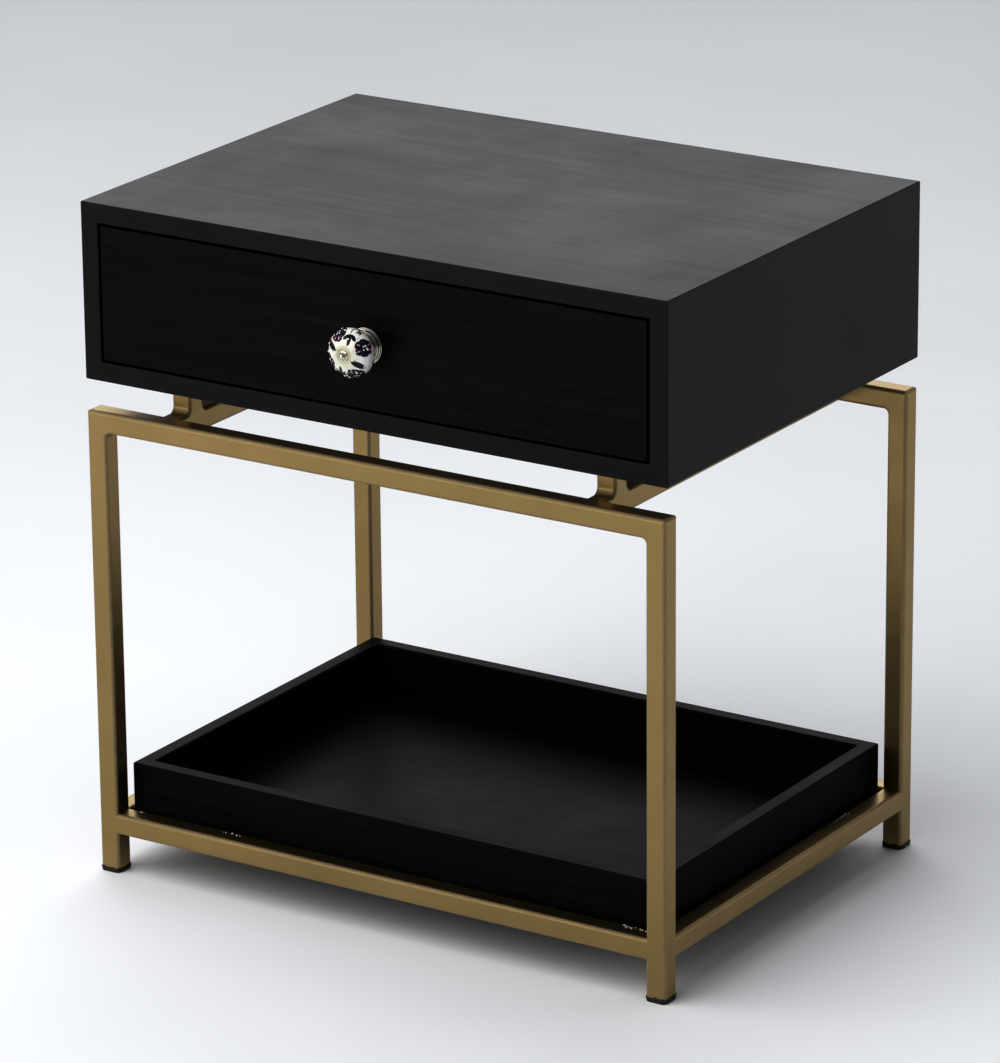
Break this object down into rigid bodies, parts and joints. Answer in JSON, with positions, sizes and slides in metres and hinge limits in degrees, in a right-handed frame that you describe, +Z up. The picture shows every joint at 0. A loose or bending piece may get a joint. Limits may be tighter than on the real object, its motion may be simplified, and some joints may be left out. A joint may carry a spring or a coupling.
{
  "type": "side table with drawer",
  "caption": "Rectangular side table: square-tube metal frame carrying a wooden case with a knobbed drawer, and a shallow open tray at the base.",
  "frame": {"origin": "on the floor, under the middle of the whole table with its knob", "axes": "+Z up, the drawer's front faces -Y and the drawer pulls out along -Y, +X to the right as seen from the front"},
  "size_m": [0.604, 0.479, 0.634],
  "materials": {
    "frame_gold": "antique gold powder coat, satin",
    "black_wood": "black stained wood under a satin lacquer, fine open grain",
    "drawer_wood": "plain wood, clear matte lacquer",
    "knob_ceramic": "glazed off-white with a painted flower and leaves",
    "bright_metal": "polished",
    "slide_steel": "zinc-plated sheet steel",
    "screw_steel": "zinc-plated",
    "insert_brass": "turned",
    "foot_plastic": "moulded, matte"
  },
  "bodies": {
    "root": {"leg_front_left": "frame_gold", "leg_front_right": "frame_gold", "leg_rear_left": "frame_gold", "leg_rear_right": "frame_gold", "post_front_left": "frame_gold", "post_front_right": "frame_gold", "post_rear_left": "frame_gold", "post_rear_right": "frame_gold", "top_rail_front": "frame_gold", "top_rail_rear": "frame_gold", "bottom_rail_front": "frame_gold", "bottom_rail_rear": "frame_gold", "bottom_rail_left": "frame_gold", "bottom_rail_right": "frame_gold", "runner_left": "frame_gold", "runner_right": "frame_gold", "tray_bearer_left": "frame_gold", "tray_bearer_right": "frame_gold", "foot_front_left": "foot_plastic", "foot_front_right": "foot_plastic", "foot_rear_left": "foot_plastic", "foot_rear_right": "foot_plastic", "case_top": "black_wood", "case_bottom": "black_wood", "case_left": "black_wood", "case_right": "black_wood", "case_back": "black_wood", "frame_bolts": "screw_steel", "bolt_washers": "screw_steel", "threaded_inserts": "insert_brass", "slide_outer_left": "slide_steel", "slide_outer_right": "slide_steel", "case_slide_screws": "screw_steel"},
    "drawer": {"drawer_face": "black_wood", "drawer_front_board": "drawer_wood", "drawer_back": "drawer_wood", "drawer_side_left": "drawer_wood", "drawer_side_right": "drawer_wood", "drawer_bottom": "drawer_wood", "face_screws": "screw_steel", "slide_inner_left": "slide_steel", "slide_inner_right": "slide_steel", "drawer_slide_screws": "screw_steel", "knob_body": "knob_ceramic", "knob_base": "bright_metal", "knob_bolt": "bright_metal", "knob_washer": "bright_metal", "knob_nut": "bright_metal"},
    "ball_cages": {"ball_cage_left": "slide_steel", "ball_cage_right": "slide_steel", "bearing_balls_left": "bright_metal", "bearing_balls_right": "bright_metal"},
    "tray": {"tray_wall_front": "black_wood", "tray_wall_rear": "black_wood", "tray_wall_left": "black_wood", "tray_wall_right": "black_wood", "tray_floor": "black_wood"}
  },
  "joints": [
    {"name": "drawer_slide", "type": "slide", "parent": "root", "child": "drawer", "axis": [0, -1, 0], "range_m": [0, 0.26]},
    {"name": "cage_slide", "type": "slide", "parent": "root", "child": "ball_cages", "axis": [0, -1, 0], "range_m": [0, 0.13]},
    {"name": "tray_lift", "type": "slide", "parent": "root", "child": "tray", "axis": [0, 0, 1], "range_m": [0, 0.1]}
  ],
  "couplings": [
    {"joint": "cage_slide", "follows": "drawer_slide", "ratio": 0.5}
  ]
}
